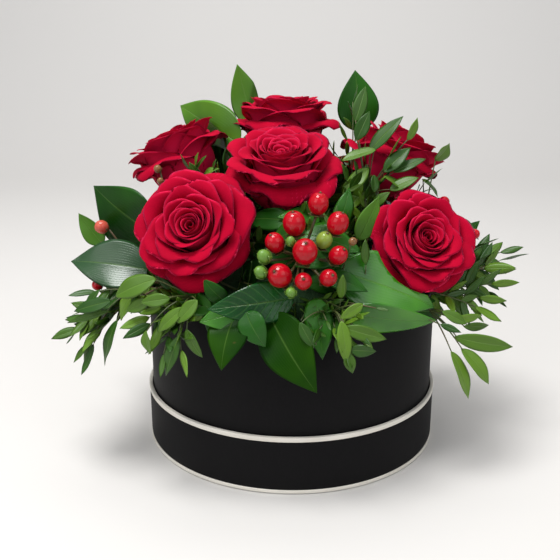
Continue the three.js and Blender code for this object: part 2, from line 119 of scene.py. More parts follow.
# Finer sprigs than the part's own solids show, in the same form.
FINE_SPRAYS = {
    "low_left": ((-66, -34, 114), [
        ((-134, -62, 66), 18, 22), ((-149, -50, 78), 12, 20), ((-138, -60, 112), 8, 20),
        ((-128, -66, 98), 12, 20), ((-110, -60, 118), 6, 18)]),
    "front_left_hang": ((-50, -58, 114), [
        ((-84, -98, 90), 14, 22), ((-100, -86, 100), 10, 20), ((-90, -94, 112), 6, 18),
        ((-72, -104, 108), 6, 18), ((-60, -110, 100), 12, 16)]),
    "right_mass": ((66, -44, 114), [
        ((131, -50, 108), 8, 18), ((126, -62, 100), 10, 18), ((140, -40, 118), 8, 18)]),
    "right_side": ((76, -8, 114), [
        ((153, -10, 131), 8, 20), ((140, -30, 122), 8, 20), ((132, -10, 142), 6, 18),
        ((150, 0, 112), 8, 20), ((128, -36, 112), 8, 18)]),
    "right_under": ((50, -64, 112), [
        ((99, -87, 99), 10, 16)]),
    "front_tangle": ((10, -66, 118), [
        ((40, -110, 117), 5, 9), ((20, -113, 112), 4, 9), ((1, -111, 112), 4, 9),
        ((54, -104, 120), 5, 10), ((12, -115, 95), 6, 10), ((34, -114, 92), 6, 10)]),
    "front": ((16, -70, 112), [
        ((44, -113, 102), 10, 14), ((8, -113, 104), 8, 13), ((24, -114, 104), 6, 13)]),
    "gap_left": ((-30, -12, 128), [
        ((-68, -30, 196), 2, 16), ((-48, -34, 194), 2, 16), ((-58, -40, 186), 2, 14)]),
    "top_left": ((-30, 20, 130), [
        ((-84, 20, 208), 2, 14), ((-50, 30, 224), 2, 12)]),
}

# Sprigs whose leaves are set one by one: root in the foam, then (base, tip, width) of each leaf.
SPRIGS = {
    "spray_right_low": ((64, -46, 114), [
        ((98, -72, 92), (137, -66, 83), 11), ((102, -76, 86), (121, -76, 62), 11),
        ((95, -80, 86), (108, -80, 54), 11), ((88, -82, 112), (104, -80, 103), 7),
        ((96, -74, 104), (116, -66, 104), 6), ((104, -70, 98), (122, -62, 96), 6)]),
    "over_left": ((-36, -14, 128), [
        ((-62, -36, 185), (-53, -38, 198), 7), ((-56, -37, 185), (-45, -40, 190), 7),
        ((-57, -36, 183), (-64, -38, 194), 6), ((-60, -36, 188), (-58, -38, 200), 6),
        ((-50, -36, 185), (-47, -38, 196), 6)]),
    "over_right": ((38, -24, 128), [
        ((71, -30, 206), (77, -28, 220), 7), ((47, -32, 199), (68, -30, 221), 10),
        ((39, -32, 206), (47, -30, 224), 9), ((39, -20, 216), (46, -12, 238), 9),
        ((51, -34, 201), (29, -36, 194), 10), ((47, -36, 190), (30, -42, 173), 10),
        ((50, -38, 186), (50, -42, 175), 8), ((58, -38, 181), (70, -42, 172), 10),
        ((56, -36, 187), (73, -32, 202), 10), ((62, -36, 187), (83, -32, 195), 8),
        ((44, -34, 178), (34, -44, 164), 9), ((60, -40, 176), (78, -40, 184), 9)]),
    "under_berries": ((14, -66, 114), [
        ((26, -112, 117), (29, -114, 92), 9), ((31, -113, 100), (46, -113, 99), 8),
        ((29, -113, 99), (33, -114, 86), 7), ((27, -112, 113), (52, -110, 105), 9),
        ((38, -110, 126), (25, -112, 118), 7), ((3, -112, 116), (11, -114, 101), 7)]),
    "left_hanging": ((-62, -40, 114), [
        ((-122, -62, 93), (-132, -62, 66), 9), ((-106, -74, 104), (-116, -74, 73), 11),
        ((-95, -84, 122), (-103, -80, 105), 10), ((-109, -74, 116), (-134, -68, 107), 9),
        ((-111, -72, 109), (-140, -64, 98), 5), ((-117, -68, 121), (-129, -64, 101), 8)]),
    "left_front": ((-46, -56, 116), [
        ((-65, -104, 105), (-74, -104, 80), 9), ((-61, -106, 110), (-52, -108, 93), 8),
        ((-78, -90, 136), (-104, -84, 123), 13), ((-83, -92, 122), (-98, -88, 114), 8),
        ((-62, -104, 122), (-78, -102, 106), 8), ((-54, -106, 127), (-66, -106, 113), 9),
        ((-85, -98, 106), (-83, -98, 91), 8), ((-70, -100, 126), (-88, -96, 122), 8)]),
    "between_top": ((-34, 14, 130), [
        ((-52, 24, 176), (-46, 26, 208), 16), ((-58, 26, 174), (-56, 28, 206), 16),
        ((-46, 22, 174), (-40, 26, 202), 15), ((-50, 18, 168), (-52, 20, 198), 15)]),
    "over_right_low": ((34, -30, 126), [
        ((31, -38, 173), (36, -40, 185), 6), ((37, -38, 170), (43, -42, 182), 6),
        ((45, -38, 171), (49, -40, 184), 7), ((32, -38, 180), (27, -40, 194), 7),
        ((50, -38, 166), (60, -42, 176), 7), ((40, -36, 180), (37, -38, 196), 7)]),
    "side_right": ((72, -16, 116), [
        ((84, -10, 194), (93, -10, 205), 13), ((81, -30, 181), (91, -34, 170), 11),
        ((118, -30, 141), (99, -34, 158), 13)]),
}

# Loose berries and buds among the leaves: place, radius, colour and sag of the stalk as a share.
LOOSE_BERRIES = [
    ((-122, -30, 151), 4.4, "pink_berry", 0.2), ((97, -24, 166), 3.6, "berry", 0.1),
    ((114, -41, 149), 3.2, "berry", 0.1), ((-122, -52, 119), 3.4, "berry", 0.1),
    ((-84, -34, 189), 2.4, "bud", 0.05), ((-82, -38, 182), 2.1, "bud", 0.05),
    ((102, -38, 155), 2.8, "berry", 0.1), ((33, -92, 157), 2.4, "bud", 0.0),
]
# Unripe berries on the berry branch, beside the ripe ones: place and radius.
BRACTS = [((-17, -98, 150), 3.8), ((-19, -102, 142), 3.4), ((-2, -105, 131), 3.0), ((-2, -95, 158), 2.6)]

# ---------- node materials ----------


class Shader:
    """A Principled material, built from a few nodes."""

    def __init__(self, name, roughness, **inputs):
        self.material = bpy.data.materials.new(name)
        self.material.use_nodes = True
        self.tree = self.material.node_tree
        self.principled = self.tree.nodes["Principled BSDF"]
        self.set(Roughness=roughness, **inputs)

    def set(self, **inputs):
        for key, value in inputs.items():
            self.put(self.principled.inputs[key.replace("_", " ")], value)

    def put(self, socket, value):
        """Links a node's output to a socket, or sets the socket's constant."""
        if isinstance(value, bpy.types.NodeSocket):
            self.tree.links.new(value, socket)
        elif isinstance(value, (tuple, list)) and socket.type == "RGBA":
            socket.default_value = (*value, 1.0)[:4]
        else:
            socket.default_value = value

    def node(self, kind, out=0, settings=(), **inputs):
        made = self.tree.nodes.new(f"ShaderNode{kind}")
        for key, value in dict(settings).items():
            setattr(made, key, value)
        for key, value in inputs.items():
            index = int(key[1:]) if key[0] == "i" and key[1:].isdigit() else key.replace("_", " ")
            self.put(made.inputs[index], value)
        return made.outputs[out]

    def math(self, operation, first, second=0.0):
        return self.node("Math", settings={"operation": operation}, i0=first, i1=second)

    def mix(self, share, first, second):
        return self.node("MixRGB", Fac=share, Color1=first, Color2=second)

    def ramp(self, share, stops):
        made = self.tree.nodes.new("ShaderNodeValToRGB")
        elements = made.color_ramp.elements
        while len(elements) < len(stops):
            elements.new(0.5)
        for element, (place, color) in zip(elements, stops):
            element.position = place
            element.color = (*color, 1.0) if isinstance(color, tuple) else (color,) * 3 + (1.0,)
        made.color_ramp.interpolation = "EASE"
        self.put(made.inputs["Fac"], share)
        return made.outputs["Color"]

    def noise(self, scale, detail=3.0, vector=None, roughness=0.5):
        place = vector or self.node("TexCoord", out=3)
        return self.node("TexNoise", Vector=place, Scale=scale, Detail=detail, Roughness=roughness)

    def stretched(self, out, scale):
        """Coordinates of the mesh (out 2 is its UV map, 3 its own space), scaled by axis."""
        place = self.node("TexCoord", out=out)
        return self.node("Mapping", Vector=place, Scale=scale)

    def uv(self):
        """Shares across and along the mesh's UV map."""
        split = self.node("SeparateXYZ", Vector=self.node("TexCoord", out=2)).node
        return split.outputs[0], split.outputs[1]

    def off_midrib(self, across):
        """Distance from the middle line of a leaf, 0.5 at its edges."""
        return self.math("ABSOLUTE", self.math("SUBTRACT", across, 0.5))

    def tone(self):
        """The tone that the mesh was built with."""
        return self.node("Attribute", out=2, settings={"attribute_name": "tone"})

    def bump(self, height, distance, strength):
        normal = self.node("Bump", Height=height, Distance=distance, Strength=strength)
        self.set(Normal=normal)


def card_material():
    """Black rolled card: fibres, a faint cloudy sheen and slightly rubbed patches."""
    paper = Shader("black_card", 0.7)
    clouds = paper.noise(9.0, 4.0)
    fibres = paper.noise(900.0, 6.0, paper.stretched(3, (1.0, 1.0, 0.35)))
    color = paper.mix(clouds, (0.0012, 0.0011, 0.0014), (0.0030, 0.0028, 0.0032))
    paper.set(Base_Color=paper.mix(paper.math("MULTIPLY", fibres, 0.3), color, (0.010, 0.009, 0.010)))
    paper.set(Roughness=paper.node("MapRange", Value=clouds, i3=0.55, i4=0.72), Specular_IOR_Level=0.12)
    paper.bump(fibres, 0.00012, 0.6)
    return paper.material


def cream_material():
    """Cream card edging, a little uneven in tone."""
    paper = Shader("cream_card", 0.65)
    clouds = paper.noise(60.0, 4.0)
    paper.set(Base_Color=paper.mix(clouds, (0.64, 0.60, 0.52), (0.80, 0.76, 0.69)))
    paper.bump(paper.noise(1400.0, 4.0), 0.00008, 0.6)
    return paper.material


def petal_material():
    """Velvety red petals: painted shade darkens them at the root and in the heart, a painted highlight
    makes their thin lips paler, and a faint nap runs along their length.

    The tone attribute is the petal's layer, from 0 at the heart to 1 outside, and PETAL_BACK on its
    paler outer face, whose paleness is partly the petal's own and partly painted sheen on its shaded side.
    """
    petal = Shader("rose_petal", 0.75, Sheen_Weight=0.14, Sheen_Roughness=0.4)
    _, along = petal.uv()
    # painted shade: the petal darkens towards its root, deep in the bloom; painted highlight: the last two
    # stops make the lips paler and pinker
    tone = petal.ramp(along, [
        (0.0, (0.240, 0.0006, 0.009)), (0.55, (0.36, 0.0009, 0.017)), (0.82, (0.38, 0.0010, 0.019)),
        (0.95, (0.38, 0.0010, 0.020)), (0.985, (0.41, 0.003, 0.028)), (1.0, (0.47, 0.020, 0.070))])
    clouds = petal.noise(70.0, 3.0)
    tone = petal.mix(petal.ramp(clouds, [(0.35, 0.0), (0.75, 0.5)]), tone, (0.25, 0.0005, 0.013))
    layer = petal.tone()
    # painted shade: the petals of the heart are darkened
    heart = petal.ramp(layer, [(0.0, 0.88), (0.30, 1.0)])
    shaded = petal.node("MixRGB", settings={"blend_type": "MULTIPLY"}, Fac=1.0, Color1=tone, Color2=heart)
    # the paler pinker outer face is partly the petal's own colour and partly painted sheen where it turns
    # away from the light
    back = petal.math("GREATER_THAN", layer, (1 + PETAL_BACK) / 2)
    shaded = petal.mix(petal.math("MULTIPLY", back, 0.8), shaded, (0.62, 0.010, 0.060))
    petal.set(Base_Color=shaded, Sheen_Tint=(1.0, 0.10, 0.25), Specular_IOR_Level=0.04)
    nap = petal.noise(1.0, 4.0, petal.stretched(2, (42.0, 5.0, 1.0)), 0.55)
    petal.bump(nap, 0.0003, 0.25)
    return petal.material


# kind: deep tone, bright tone, roughness, specular level
LEAF_TONES = {
    "bright": ((0.008, 0.080, 0.003), (0.075, 0.290, 0.010), 0.20, 0.5),
    "broad": ((0.008, 0.066, 0.003), (0.030, 0.155, 0.007), 0.28, 0.25),
    "dark": ((0.004, 0.034, 0.002), (0.015, 0.084, 0.005), 0.30, 0.12),
    # shade is painted shade: darker greens for the leaves that hang under the front flowers
    "shade": ((0.002, 0.022, 0.001), (0.018, 0.066, 0.002), 0.32, 0.05),
    "light": ((0.034, 0.105, 0.006), (0.086, 0.215, 0.012), 0.36, 0.25),
    "blue": ((0.010, 0.040, 0.011), (0.024, 0.076, 0.022), 0.24, 0.45),
    "salal": ((0.002, 0.036, 0.005), (0.008, 0.086, 0.010), 0.26, 0.3),
}


def leaf_material(kind):
    """A waxy leaf with a pale midrib: parallel veins, or side veins that branch from the midrib."""
    deep, bright, roughness, gloss = LEAF_TONES[kind]
    leaf = Shader(f"leaf_{kind}", roughness, Specular_IOR_Level=gloss)
    across, along = leaf.uv()
    side = leaf.off_midrib(across)
    midrib = leaf.ramp(side, [(0.0, 1.0), (0.014, 0.3), (0.035, 0.0)])
    branching = kind == "salal"
    if branching:
        slanted = leaf.math("SUBTRACT", along, leaf.math("MULTIPLY", side, 0.42))
        lines = leaf.math("SINE", leaf.math("MULTIPLY", slanted, 58.0))
    else:
        lines = leaf.math("SINE", leaf.math("MULTIPLY", side, 130.0))
    veins = leaf.node("MapRange", Value=lines, i1=0.70 if branching else 0.55, i2=1.0)
    color = leaf.mix(leaf.ramp(leaf.noise(26.0, 2.0), [(0.25, 0.0), (0.75, 1.0)]), deep, bright)
    faint = leaf.math("MULTIPLY", veins, 0.2 if branching else 0.06)
    color = leaf.mix(faint, color, (0.05, 0.17, 0.02))
    color = leaf.mix(leaf.math("MULTIPLY", midrib, 0.28), color, (0.16, 0.30, 0.06))
    spots = leaf.ramp(leaf.noise(75.0, 2.0), [(0.0, 0.0), (0.77, 0.0), (0.80, 0.6)])
    color = leaf.mix(spots, color, (0.10, 0.06, 0.02))
    leaf.set(Base_Color=color)
    relief = leaf.math("ADD", leaf.math("MULTIPLY", midrib, -1.0), leaf.math("MULTIPLY", veins, 0.12))
    if branching:
        cells = leaf.node("TexVoronoi", Vector=leaf.stretched(2, (9.0, 22.0, 1.0)), Scale=1.0)
        relief = leaf.math("ADD", leaf.math("MULTIPLY", veins, -0.3), leaf.math("MULTIPLY", cells, -0.35))
        relief = leaf.math("SUBTRACT", relief, midrib)
    relief = leaf.math("ADD", relief, leaf.math("MULTIPLY", leaf.noise(400.0, 2.0), 0.08))
    leaf.bump(relief, 0.0008 if branching else 0.0005, 0.6)
    return leaf.material


def leaflet_material():
    """Small leathery leaflets that vary from fresh to dull green along each spray."""
    leaf = Shader("small_leaflet", 0.42, Specular_IOR_Level=0.35)
    across, _ = leaf.uv()
    midrib = leaf.ramp(leaf.off_midrib(across), [(0.0, 1.0), (0.06, 0.0)])
    color = leaf.mix(leaf.tone(), (0.013, 0.060, 0.003), (0.120, 0.235, 0.013))
    color = leaf.mix(leaf.math("MULTIPLY", leaf.noise(120.0, 3.0), 0.3), color, (0.030, 0.095, 0.006))
    color = leaf.mix(leaf.math("MULTIPLY", midrib, 0.25), color, (0.16, 0.28, 0.05))
    leaf.set(Base_Color=color)
    leaf.bump(leaf.math("MULTIPLY", midrib, -1.0), 0.0003, 0.6)
    return leaf.material


def stem_material(name="green_stem", green=(0.10, 0.20, 0.05), flush=(0.22, 0.10, 0.05)):
    """A green stem with a reddish flush and fine long fibres."""
    stem = Shader(name, 0.5)
    flushes = stem.noise(45.0, 3.0)
    stem.set(Base_Color=stem.mix(stem.ramp(flushes, [(0.45, 0.0), (0.75, 0.7)]), green, flush))
    stem.bump(stem.noise(500.0, 4.0, stem.stretched(3, (1.0, 1.0, 0.2))), 0.0003, 0.5)
    return stem.material


def bract_material():
    """Green of the berry branch: plain stems, and paler bracts where the tone is high."""
    bract = Shader("bract", 0.4)
    patches = bract.noise(160.0, 3.0)
    stem = bract.mix(patches, (0.050, 0.085, 0.015), (0.11, 0.040, 0.015))
    leaf = bract.mix(patches, (0.070, 0.180, 0.018), (0.150, 0.290, 0.035))
    bract.set(Base_Color=bract.mix(bract.tone(), stem, leaf))
    bract.bump(bract.noise(500.0, 3.0), 0.0003, 0.5)
    return bract.material


def berry_material(name, deep, bright):
    """A glossy berry, deeper round its tip, with faint speckles under the skin."""
    berry = Shader(name, 0.3, Specular_IOR_Level=0.03, Coat_Weight=0.6, Coat_Roughness=0.02)
    _, along = berry.uv()
    color = berry.mix(berry.noise(180.0, 4.0), deep, bright)
    tip = berry.ramp(along, [(0.90, 0.0), (0.97, 0.7)])
    berry.set(Base_Color=berry.mix(tip, color, (0.035, 0.004, 0.003)))
    berry.bump(berry.noise(260.0, 3.0), 0.0003, 0.2)
    return berry.material


def foam_material():
    """Wet floral foam: dense green cells with darker pores."""
    foam = Shader("floral_foam", 0.9)
    pores = foam.node("TexVoronoi", Scale=900.0, Vector=foam.node("TexCoord", out=3))
    color = foam.mix(foam.noise(40.0), (0.012, 0.045, 0.012), (0.030, 0.090, 0.022))
    foam.set(Base_Color=foam.mix(foam.ramp(pores, [(0.0, 0.7), (0.4, 0.0)]), color, (0.004, 0.016, 0.004)))
    foam.bump(pores, 0.0006, 0.8)
    return foam.material


def film_material():
    """The liner's thin clear film."""
    film = Shader("liner_film", 0.12, Transmission_Weight=0.3, Alpha=0.35)
    film.set(Base_Color=film.mix(film.noise(30.0), (0.75, 0.80, 0.77), (0.85, 0.88, 0.86)))
    film.bump(film.noise(60.0, 3.0), 0.001, 0.4)
    return film.material


# ---------- mesh building ----------

WELD = 1e-6


class Shape:
    """Gathers grids of points into one mesh of closed bodies. Points are metres in the row frame."""

    def __init__(self):
        self.points, self.faces, self.uvs, self.tones = [], [], [], []

    def grid(self, points, tone, uv=None):
        """Adds a (columns, rows, 3) grid of points as quads."""
        columns, rows = points.shape[:2]
        start = len(self.points)
        self.points.extend(points.reshape(-1, 3).tolist())
        if uv is None:
            u, v = np.meshgrid(np.linspace(0, 1, columns), np.linspace(0, 1, rows), indexing="ij")
            uv = np.stack([u, v], axis=2)
        self.uvs.extend(uv.reshape(-1, 2).tolist())
        self.tones.extend([tone] * (columns * rows))
        for column in range(columns - 1):
            for row in range(rows - 1):
                corner = start + column * rows + row
                self.faces.append((corner, corner + rows, corner + rows + 1, corner + 1))

    def sheet(self, points, thickness, tone=0.0, outer_tone=None):
        """Adds a grid as a thin closed body whose edges taper to nothing.

        The outer side is the one that a petal turns away from the heart.
        """
        columns, rows = points.shape[:2]
        normal = np.cross(np.gradient(points, axis=0), np.gradient(points, axis=1))
        normal /= np.maximum(np.linalg.norm(normal, axis=2, keepdims=True), 1e-12)
        across = np.abs(np.linspace(-1, 1, columns))[:, None, None]
        along = np.abs(np.linspace(-1, 1, rows))[None, :, None]
        swell = np.sqrt(np.clip(1 - across**6, 0, 1)) * np.sqrt(np.clip(1 - along**12, 0, 1))
        self.grid(points + normal * swell * thickness / 2, tone if outer_tone is None else outer_tone)
        u, v = np.meshgrid(np.linspace(1, 0, columns), np.linspace(0, 1, rows), indexing="ij")
        back = points - normal * swell * thickness / 2
        self.grid(back[::-1], tone, np.stack([u, v], axis=2))

    def turned(self, profile, base, axis, sides, tone=0.0):
        """Adds a solid turned from (radius, height) points round an axis."""
        axis, right, ahead = upright(axis)
        angle = np.linspace(0, 2 * np.pi, sides + 1)[:, None, None]
        radius = np.array([point[0] for point in profile])[None, :, None]
        height = np.array([point[1] for point in profile])[None, :, None]
        self.grid(np.asarray(base) + spoke(right, ahead, angle) * radius + axis * height, tone)

    def tube(self, path, radii, sides):
        """Adds a round rod along a path of points, closed at both ends."""
        path = np.asarray(path, float)
        tangent = np.gradient(path, axis=0)
        tangent /= np.linalg.norm(tangent, axis=1, keepdims=True)
        _, right, _ = upright(tangent[0])
        radii = np.broadcast_to(radii, len(path))
        rings = [np.repeat(path[:1], sides + 1, axis=0)]
        angle = np.linspace(0, 2 * np.pi, sides + 1)[:, None]
        for point, way, radius in zip(path, tangent, radii):
            right = right - way * (right @ way)
            right /= np.linalg.norm(right)
            rings.append(point + radius * spoke(right, np.cross(way, right), angle))
        rings.append(np.repeat(path[-1:], sides + 1, axis=0))
        self.grid(np.stack(rings, axis=1), 0.0)

    def build(self, name, material, body, slot, replaces=()):
        """Makes the object, welds its seams and puts it on its body."""
        mesh = bpy.data.meshes.new(name)
        mesh.from_pydata(self.points, [], self.faces)
        layer = mesh.uv_layers.new(name="UVMap")
        corner = np.zeros(len(mesh.loops), np.int32)
        mesh.loops.foreach_get("vertex_index", corner)
        layer.data.foreach_set("uv", np.array(self.uvs)[corner].ravel())
        tone = mesh.attributes.new("tone", "FLOAT", "POINT")
        tone.data.foreach_set("value", self.tones)
        edit = bmesh.new()
        edit.from_mesh(mesh)
        bmesh.ops.remove_doubles(edit, verts=edit.verts, dist=WELD)
        bmesh.ops.recalc_face_normals(edit, faces=edit.faces)
        for face in edit.faces:
            face.smooth = True
        edit.to_mesh(mesh)
        edit.free()
        piece = bpy.data.objects.new(name, mesh)
        bpy.context.scene.collection.objects.link(piece)
        mesh.materials.append(material)
        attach(piece, body)
        if replaces:
            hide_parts(*replaces)


def unit(vector):
    vector = np.asarray(vector, float)
    return vector / np.linalg.norm(vector)


def upright(axis):
    """An axis and two directions square to it."""
    axis = unit(axis)
    helper = np.array([0.0, 0.0, 1.0]) if abs(axis[2]) < 0.9 else np.array([1.0, 0.0, 0.0])
    right = unit(np.cross(helper, axis))
    return axis, right, np.cross(axis, right)


def spoke(right, ahead, angle):
    """The direction at an angle from right towards ahead."""
    return np.cos(angle) * right + np.sin(angle) * ahead


def node_points(node):
    """The corners of a CAD node, in metres."""
    mesh = frame["nodes"][node].data
    flat = np.zeros(len(mesh.vertices) * 3, np.float32)
    mesh.vertices.foreach_get("co", flat)
    return flat.reshape(-1, 3).astype(float)


def turned_lie(node, axis):
    """Where a turned CAD solid lies: its lowest point on the axis, its length and its radius."""
    points = node_points(node)
    axis = unit(axis)
    heights = points @ axis
    low, high = heights.min(), heights.max()
    foot = points[heights < low + 1e-5].mean(axis=0)
    spread = points - foot - np.outer(heights - low, axis)
    return foot, high - low, np.linalg.norm(spread, axis=1).max()


# ---------- the room that each flower needs ----------

PULL_LENGTH = 60 * MM
# how far foliage keeps from the card: outside the wall, inside it, and off the edges
OUTER_GAP = 0.7 * MM
INNER_GAP = 4.2 * MM
EDGE_GAP = 0.8 * MM


class Sleeve:
    """The room round an axis that a flower needs as it is drawn out: radii at heights over a base."""

    def __init__(self, base, axis, heights, radii):
        self.base, self.axis = np.asarray(base), unit(axis)
        self.heights, self.radii = heights, radii

    def depth(self, points):
        """How deep each point lies in the room, and which way leads out."""
        local = points - self.base
        height = local @ self.axis
        outward = local - height[..., None] * self.axis
        reach = np.linalg.norm(outward, axis=-1)
        limit = np.interp(height, self.heights, self.radii, left=0.0, right=0.0)
        return np.maximum(limit - reach, 0.0), outward / np.maximum(reach, 1e-9)[..., None]


def flower_sleeves():
    """The room of each rose and berry, and of the berry branch's stem.

    A rose's room follows its stem, steps out to the hip, widens with the bloom and then runs on as
    wide as the bloom for the length of the pull.
    """
    sleeves = []
    for joint in frame["joints"]:
        name, axis = joint["child"], joint["axis"]
        if name.startswith("rose_"):
            foot, height, radius = turned_lie(f"{name}_bloom", axis)
            _, stem, _ = turned_lie(f"{name}_stem", axis)
            margin = 1.0 * MM
            shares = [(0.0, 0.24), (0.08, 0.52), (0.28, 0.82), (0.52, 0.97), (0.7, 1.0)]
            heights = [-stem, -9.1 * MM, -9 * MM] + [up * height for up, _ in shares]
            radii = [3.4 * MM, 3.4 * MM, 7.4 * MM] + [out * radius + margin for _, out in shares]
            sleeves.append(Sleeve(foot, axis, heights + [height + PULL_LENGTH], radii + radii[-1:]))
        elif name == "berries":
            for node in frame["nodes"]:
                if node.startswith("berry_") and node != "berry_branch":
                    low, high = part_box(node)
                    centre, reach = (np.array(low) + np.array(high)) / 2, (high.x - low.x) / 2 + MM
                    sleeves.append(Sleeve(centre, axis, [-reach, 0, PULL_LENGTH + reach],
                                          [0.3 * reach, reach, reach]))
            sleeves.append(Sleeve(BERRY_FORK * MM, axis, [-50 * MM, PULL_LENGTH], [3 * MM, 3 * MM]))
    return sleeves


def keep_out_of_box(points):
    """Moves points off the card wall of the box and the rim of the lid."""
    reach = np.hypot(points[..., 0], points[..., 1])
    wall, inner = BOX_REACH + OUTER_GAP, BOX_REACH - INNER_GAP
    middle = (wall + inner) / 2
    goal = reach.copy()
    low = points[..., 2] < BOX_TOP + EDGE_GAP
    goal[low & (reach > middle) & (reach < wall)] = wall
    goal[low & (reach > inner) & (reach <= middle)] = inner
    rim = LID_REACH + EDGE_GAP
    goal[(points[..., 2] < LID_TOP + EDGE_GAP) & (reach > inner) & (reach < rim)] = rim
    scale = goal / np.maximum(reach, 1e-9)
    return points * np.stack([scale, scale, np.ones_like(scale)], axis=-1)


def keep_clear(points):
    """Presses foliage aside where it would stand in a flower's way or in the box's wall."""
    for sleeve in SLEEVES:
        depth, way = sleeve.depth(points)
        points = points + way * depth[..., None]
    return keep_out_of_box(points)


def settle(points):
    """Moves a leaf aside as a whole, then presses in what still stands in the way."""
    for sleeve in SLEEVES:
        depth, way = sleeve.depth(points)
        deepest = np.unravel_index(depth.argmax(), depth.shape)
        points = points + way[deepest] * depth[deepest]
    return keep_clear(points)


def crowded(points, most=0.5 * MM):
    """True where foliage would have to be pressed aside by more than a little."""
    return any(sleeve.depth(points)[0].max() > most for sleeve in SLEEVES)


BOX_REACH, _, BOX_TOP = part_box("box_wall")[1]
LID_REACH, _, LID_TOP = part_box("lid_rim_trim")[1]
SLEEVES = flower_sleeves()

# ---------- the box and the lid ----------

CARD_SIDES = 144


def rounded_ring(inner, outer, low, high, edge):
    """Profile of a card ring with softly rounded edges."""
    turn = np.linspace(0, np.pi / 2, 4)
    corners = [(outer - edge, low + edge, -90), (outer - edge, high - edge, 0),
               (inner + edge, high - edge, 90), (inner + edge, low + edge, 180)]
    profile = []
    for radius, height, start in corners:
        angle = np.radians(start) + turn
        profile += list(zip(radius + edge * np.cos(angle), height + edge * np.sin(angle)))
    return profile + profile[:1]


def ring_piece(node, wall, edge, material, slot, body):
    """Replaces a CAD ring with a rounder one of the same size."""
    low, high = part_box(node)
    shape = Shape()
    profile = rounded_ring(high.x - wall, high.x, low.z, high.z, edge)
    shape.turned(profile, (0, 0, 0), (0, 0, 1), CARD_SIDES)
    shape.build(f"{node}_card", material, body, slot, [node])


def disc_piece(node, material, slot, body):
    """Replaces a CAD disc with one of the same size whose edges are bevelled."""
    low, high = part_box(node)
    edge = 0.3 * MM
    profile = [(0, low.z), (high.x - edge, low.z), (high.x, low.z + edge), (high.x, high.z - edge),
               (high.x - edge, high.z), (0, high.z)]
    shape = Shape()
    shape.turned(profile, (0, 0, 0), (0, 0, 1), CARD_SIDES)
    shape.build(f"{node}_card", material, body, slot, [node])


def make_box():
    """The lid and the box in card. The liner and the foam keep their CAD meshes."""
    black, cream = card_material(), cream_material()
    card = 2.0 * MM
    edge = 0.45 * MM
    disc_piece("lid_panel", black, "black_card", "lid")
    ring_piece("lid_rim", card, edge, black, "black_card", "lid")
    ring_piece("lid_rim_trim", card + 0.4 * MM, edge, cream, "cream_card", "lid")
    ring_piece("lid_panel_trim", 0.9 * MM, 0.3 * MM, cream, "cream_card", "lid")
    ring_piece("box_wall", card, edge, black, "black_card", "box")
    disc_piece("box_base", black, "black_card", "box")
    for node, material in (("liner", film_material()), ("foam_block", foam_material())):
        mesh = frame["nodes"][node].data
        mesh.materials.clear()
        mesh.materials.append(material)


# ---------- roses ----------

PETALS = 38
GUARD_PETALS = 6
PETAL_BACK = 2.0
GOLDEN_ANGLE = math.pi * (3 - math.sqrt(5))
LIP_SPARE = 1.15


def petal_spine(rim, crest, lip, curl):
    """Middle line of a petal: a cup up to the crest, then a lip that rolls outwards.

    Gives (radius, height) points and the share of the petal's length at each. The line runs on
    past a share of 1, so that a pointed tip has something to follow.
    """
    share = np.linspace(0, 1, 30)[:, None]
    start, belly = np.array([0.02 * rim, 0.0]), np.array([0.45 * rim + 0.004, 0.02 * crest])
    chest, top = np.array([1.0 * rim, 0.5 * crest]), np.array([rim, crest])
    cup = ((1 - share) ** 3 * start + 3 * (1 - share) ** 2 * share * belly
           + 3 * (1 - share) * share**2 * chest + share**3 * top)
    steps = 26
    roll = curl * np.linspace(0, LIP_SPARE, steps)
    step = LIP_SPARE * lip / steps
    lip_line = top + np.cumsum(np.stack([np.sin(roll), np.cos(roll)], axis=1) * step, axis=0)
    line = np.vstack([cup, lip_line])
    lengths = np.concatenate([[0], np.cumsum(np.linalg.norm(np.diff(line, axis=0), axis=1))])
    whole = lengths[-1] - (LIP_SPARE - 1) * lip
    return lengths / whole, line


